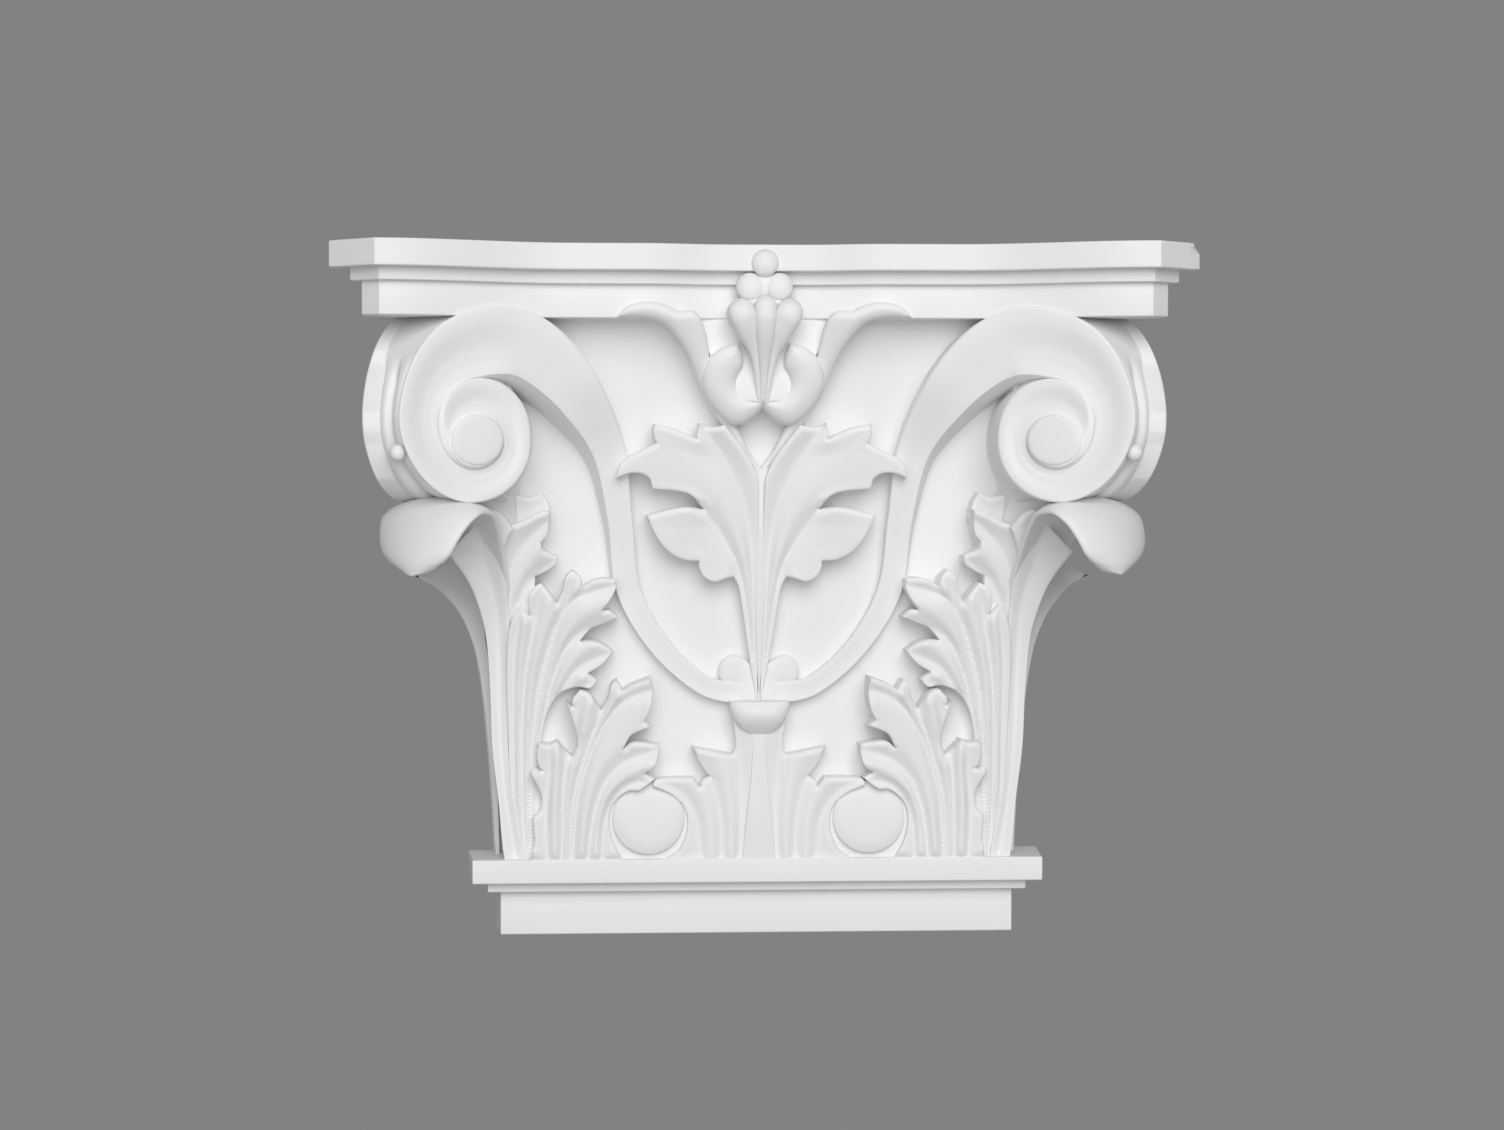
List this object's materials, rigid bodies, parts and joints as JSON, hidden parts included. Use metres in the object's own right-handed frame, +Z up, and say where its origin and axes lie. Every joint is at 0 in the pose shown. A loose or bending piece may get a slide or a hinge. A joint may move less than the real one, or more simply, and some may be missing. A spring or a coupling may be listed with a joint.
{
  "type": "pilaster capital",
  "caption": "Flat-backed Corinthian pilaster capital with corner volutes, acanthus leaves and a central flower under a hollow-sided abacus.",
  "frame": {"origin": "centre of the flat back face that lies on the wall", "axes": "+Z up, the front looks along -Y, +X is the viewer's right"},
  "size_m": [0.3, 0.0991, 0.2476],
  "materials": {
    "moulded_white": "matte white primed"
  },
  "bodies": {
    "root": {"capital": "moulded_white"}
  },
  "joints": []
}
